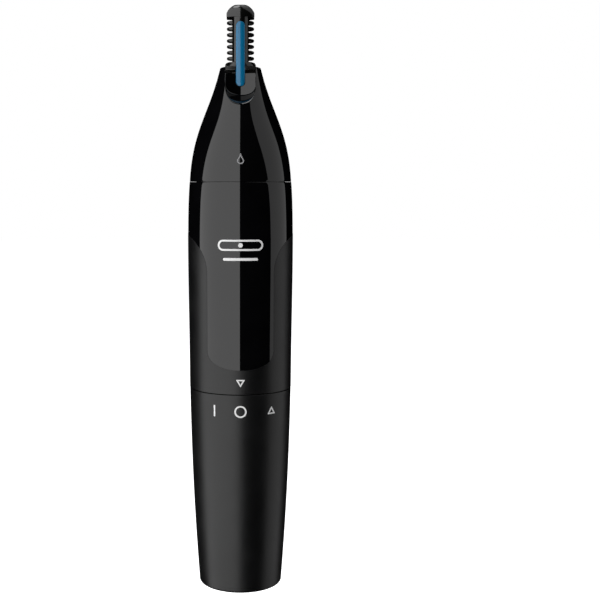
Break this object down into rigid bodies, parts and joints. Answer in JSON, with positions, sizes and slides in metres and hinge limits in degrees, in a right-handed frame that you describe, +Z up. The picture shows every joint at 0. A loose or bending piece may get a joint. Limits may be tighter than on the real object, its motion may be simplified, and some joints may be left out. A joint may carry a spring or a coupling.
{
  "type": "nose hair trimmer",
  "caption": "Slim round battery nose hair trimmer with a twist base switch, soft side grips, a tapered gloss head and a toothed round-tipped guard over a reciprocating cutter.",
  "frame": {"origin": "centre of the flat foot of the base", "axes": "+Z up the body to the cutting head, front faces -Y"},
  "size_m": [0.0294, 0.0294, 0.1637],
  "materials": {
    "gloss_black": "gloss",
    "soft_black": "soft-touch matte",
    "guard_black": "satin",
    "accent_blue": "gloss",
    "print_white": "printed",
    "carrier_plastic": "moulded",
    "frame_plastic": "moulded",
    "pom_white": "moulded",
    "contact_plate": "nickel plated",
    "bronze_leaf": "rolled",
    "motor_steel": "zinc plated",
    "magnet_ferrite": "sintered",
    "winding_copper": "enamelled copper",
    "spring_steel": "drawn wire",
    "blade_steel": "ground",
    "seal_rubber": "moulded",
    "seal_silicone": "moulded",
    "cell_steel": "gold tinted",
    "cell_print": "printed film",
    "cell_nylon": "moulded"
  },
  "bodies": {
    "handle": {"handle_shell": "gloss_black", "grip_sleeve": "soft_black", "head_shell": "gloss_black", "guard": "guard_black", "accent_strip": "accent_blue", "pointer_mark": "print_white", "contact_carrier": "carrier_plastic", "battery_tube": "frame_plastic", "base_oring": "seal_rubber", "positive_contact": "contact_plate", "switch_leaf": "bronze_leaf", "positive_lead": "contact_plate", "negative_lead": "contact_plate", "motor_frame": "frame_plastic", "motor_can": "motor_steel", "motor_magnets": "magnet_ferrite", "motor_end_cap": "pom_white", "motor_terminals": "bronze_leaf", "motor_bearing": "bronze_leaf", "drive_guide": "carrier_plastic", "guide_screws": "motor_steel", "return_spring": "spring_steel", "rod_seal": "seal_silicone", "head_gasket": "seal_rubber"},
    "rotor": {"motor_shaft": "blade_steel", "armature": "winding_copper", "face_cam": "pom_white"},
    "blade": {"drive_rod": "pom_white", "cutter_blade": "blade_steel"},
    "ring": {"switch_ring": "pom_white"},
    "base": {"base_sleeve": "soft_black", "battery_spring": "spring_steel", "base_strip": "contact_plate", "dial_marks": "print_white"},
    "cell": {"cell_can": "cell_steel", "cell_label": "cell_print", "cell_cap": "contact_plate", "cell_seal": "cell_nylon"}
  },
  "joints": [
    {"name": "rotor_spin", "type": "hinge", "parent": "handle", "child": "rotor", "pos_m": [0, 0, 0.075], "axis": [0, 0, 1], "continuous": true},
    {"name": "blade_stroke", "type": "slide", "parent": "handle", "child": "blade", "axis": [0, 0, 1], "range_m": [0, 0.0012], "deforming": ["return_spring"]},
    {"name": "base_twist", "type": "hinge", "parent": "handle", "child": "ring", "pos_m": [0, 0, 0.0494], "axis": [0, 0, 1], "range_deg": [-36.7, 30]},
    {"name": "base_pull", "type": "slide", "parent": "ring", "child": "base", "axis": [0, 0, -1], "range_m": [0, 0.11]},
    {"name": "cell_release", "type": "slide", "parent": "handle", "child": "cell", "axis": [0, 0, -1], "range_m": [0, 0.055]}
  ],
  "couplings": [
    {"joint": "cell_release", "follows": "base_pull", "ratio": 0.5}
  ]
}
